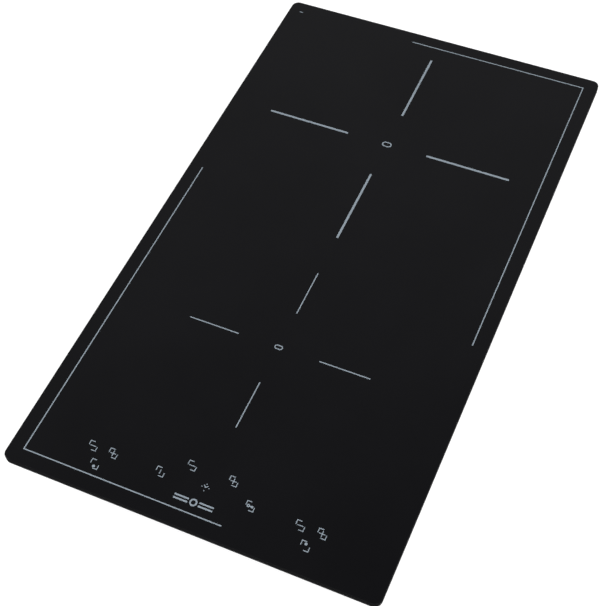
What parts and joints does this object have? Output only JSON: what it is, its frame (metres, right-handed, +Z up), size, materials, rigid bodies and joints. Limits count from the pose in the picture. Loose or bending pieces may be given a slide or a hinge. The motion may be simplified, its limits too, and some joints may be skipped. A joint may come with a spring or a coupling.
{
  "type": "induction cooktop",
  "caption": "Narrow built-in induction cooktop: black glass plate with a touch panel, and a shallow steel case with coils, fan and power electronics.",
  "frame": {"origin": "middle of the underside of the steel case, below the middle of the glass", "axes": "+X to the right of a person at the controls, +Y to the back, +Z up"},
  "size_m": [0.288, 0.51, 0.0501],
  "materials": {
    "black_glass": "polished black ceramic glass",
    "grey_enamel": "screen-printed enamel, satin",
    "foam_seal": "closed-cell foam",
    "silicone_bond": "cured silicone",
    "zinc_steel": "galvanised sheet",
    "screw_steel": "zinc plated",
    "clamp_steel": "zinc plated pressing",
    "spring_steel": "drawn wire",
    "black_plastic": "moulded, glass filled",
    "impeller_plastic": "moulded",
    "motor_body": "varnished stator",
    "sheet_aluminium": "mill finish sheet",
    "extruded_aluminium": "extruded",
    "cream_plastic": "heat resistant moulding",
    "stranded_copper": "enamelled strands",
    "enamelled_copper": "enamelled wire",
    "ferrite": "sintered",
    "fibre_insulation": "ceramic fibre paper",
    "red_silicone": "silicone cap",
    "green_board": "solder mask",
    "brass_fittings": "turned",
    "tinned_brass": "tinned",
    "device_black": "moulded epoxy",
    "blue_film": "moulded box",
    "yellow_film": "moulded box",
    "capacitor_sleeve": "shrink sleeve",
    "transformer_tape": "ferrite core with polyester tape",
    "relay_case": "moulded case",
    "fuse_ceramic": "ceramic tube",
    "white_plastic": "moulded polyamide",
    "display_face": "dark red filter",
    "grey_ribbon": "flat cable",
    "lead_red": "silicone sleeve",
    "lead_white": "silicone sleeve",
    "lead_brown": "silicone sleeve",
    "lead_black": "sleeve",
    "inlet_rubber": "moulded bush"
  },
  "bodies": {
    "case": {"glass_panel": "black_glass", "border_print": "grey_enamel", "zone_print": "grey_enamel", "key_print": "grey_enamel", "worktop_seal": "foam_seal", "glass_bond": "silicone_bond", "case_frame": "zinc_steel", "case_tray": "zinc_steel", "case_sides": "zinc_steel", "case_screws": "screw_steel", "fan_housing": "black_plastic", "fan_motor": "motor_body", "air_guide": "black_plastic", "coil_plate": "sheet_aluminium", "coil_springs": "spring_steel", "rear_coil_carrier": "cream_plastic", "rear_winding": "stranded_copper", "rear_ferrites": "ferrite", "rear_insulation": "fibre_insulation", "rear_sensor": "red_silicone", "front_coil_carrier": "cream_plastic", "front_winding": "stranded_copper", "front_ferrites": "ferrite", "front_insulation": "fibre_insulation", "front_sensor": "red_silicone", "power_board": "green_board", "board_standoffs": "brass_fittings", "heat_sink": "extruded_aluminium", "power_transistors": "device_black", "bridge_rectifier": "device_black", "resonant_capacitors": "blue_film", "filter_choke": "enamelled_copper", "filter_capacitor": "yellow_film", "smoothing_capacitors": "capacitor_sleeve", "supply_transformer": "transformer_tape", "relay": "relay_case", "fuse": "fuse_ceramic", "board_tabs": "tinned_brass", "control_holder": "white_plastic", "control_board": "green_board", "touch_springs": "spring_steel", "digit_displays": "display_face", "buzzer": "device_black", "ribbon_cable": "grey_ribbon", "coil_leads": "lead_red", "sensor_leads": "lead_white", "supply_leads": "lead_brown", "fan_lead": "lead_black", "terminal_box": "white_plastic", "terminal_block": "white_plastic", "terminal_screws": "brass_fittings", "cable_inlet": "inlet_rubber", "clamp_screws": "screw_steel", "inner_screws": "screw_steel"},
    "impeller": {"fan_impeller": "impeller_plastic"},
    "cover": {"terminal_cover": "white_plastic"},
    "clamp_front_left": {"clamp_front_left": "clamp_steel"},
    "clamp_front_right": {"clamp_front_right": "clamp_steel"},
    "clamp_rear_left": {"clamp_rear_left": "clamp_steel"},
    "clamp_rear_right": {"clamp_rear_right": "clamp_steel"}
  },
  "joints": [
    {"name": "fan_spin", "type": "hinge", "parent": "case", "child": "impeller", "pos_m": [0.062, 0.172, 0.01], "axis": [0, 0, 1], "continuous": true},
    {"name": "cover_hinge", "type": "hinge", "parent": "case", "child": "cover", "pos_m": [-0.1, 0.2434, 0.0035], "axis": [-1, 0, 0], "range_deg": [0, 90]},
    {"name": "clamp_front_left_swing", "type": "hinge", "parent": "case", "child": "clamp_front_left", "pos_m": [-0.124, -0.15, 0.007], "axis": [0, 0, -1], "range_deg": [0, 90]},
    {"name": "clamp_front_right_swing", "type": "hinge", "parent": "case", "child": "clamp_front_right", "pos_m": [0.124, -0.15, 0.007], "axis": [0, 0, 1], "range_deg": [0, 90]},
    {"name": "clamp_rear_left_swing", "type": "hinge", "parent": "case", "child": "clamp_rear_left", "pos_m": [-0.124, 0.15, 0.007], "axis": [0, 0, 1], "range_deg": [0, 90]},
    {"name": "clamp_rear_right_swing", "type": "hinge", "parent": "case", "child": "clamp_rear_right", "pos_m": [0.124, 0.15, 0.007], "axis": [0, 0, -1], "range_deg": [0, 90]}
  ]
}
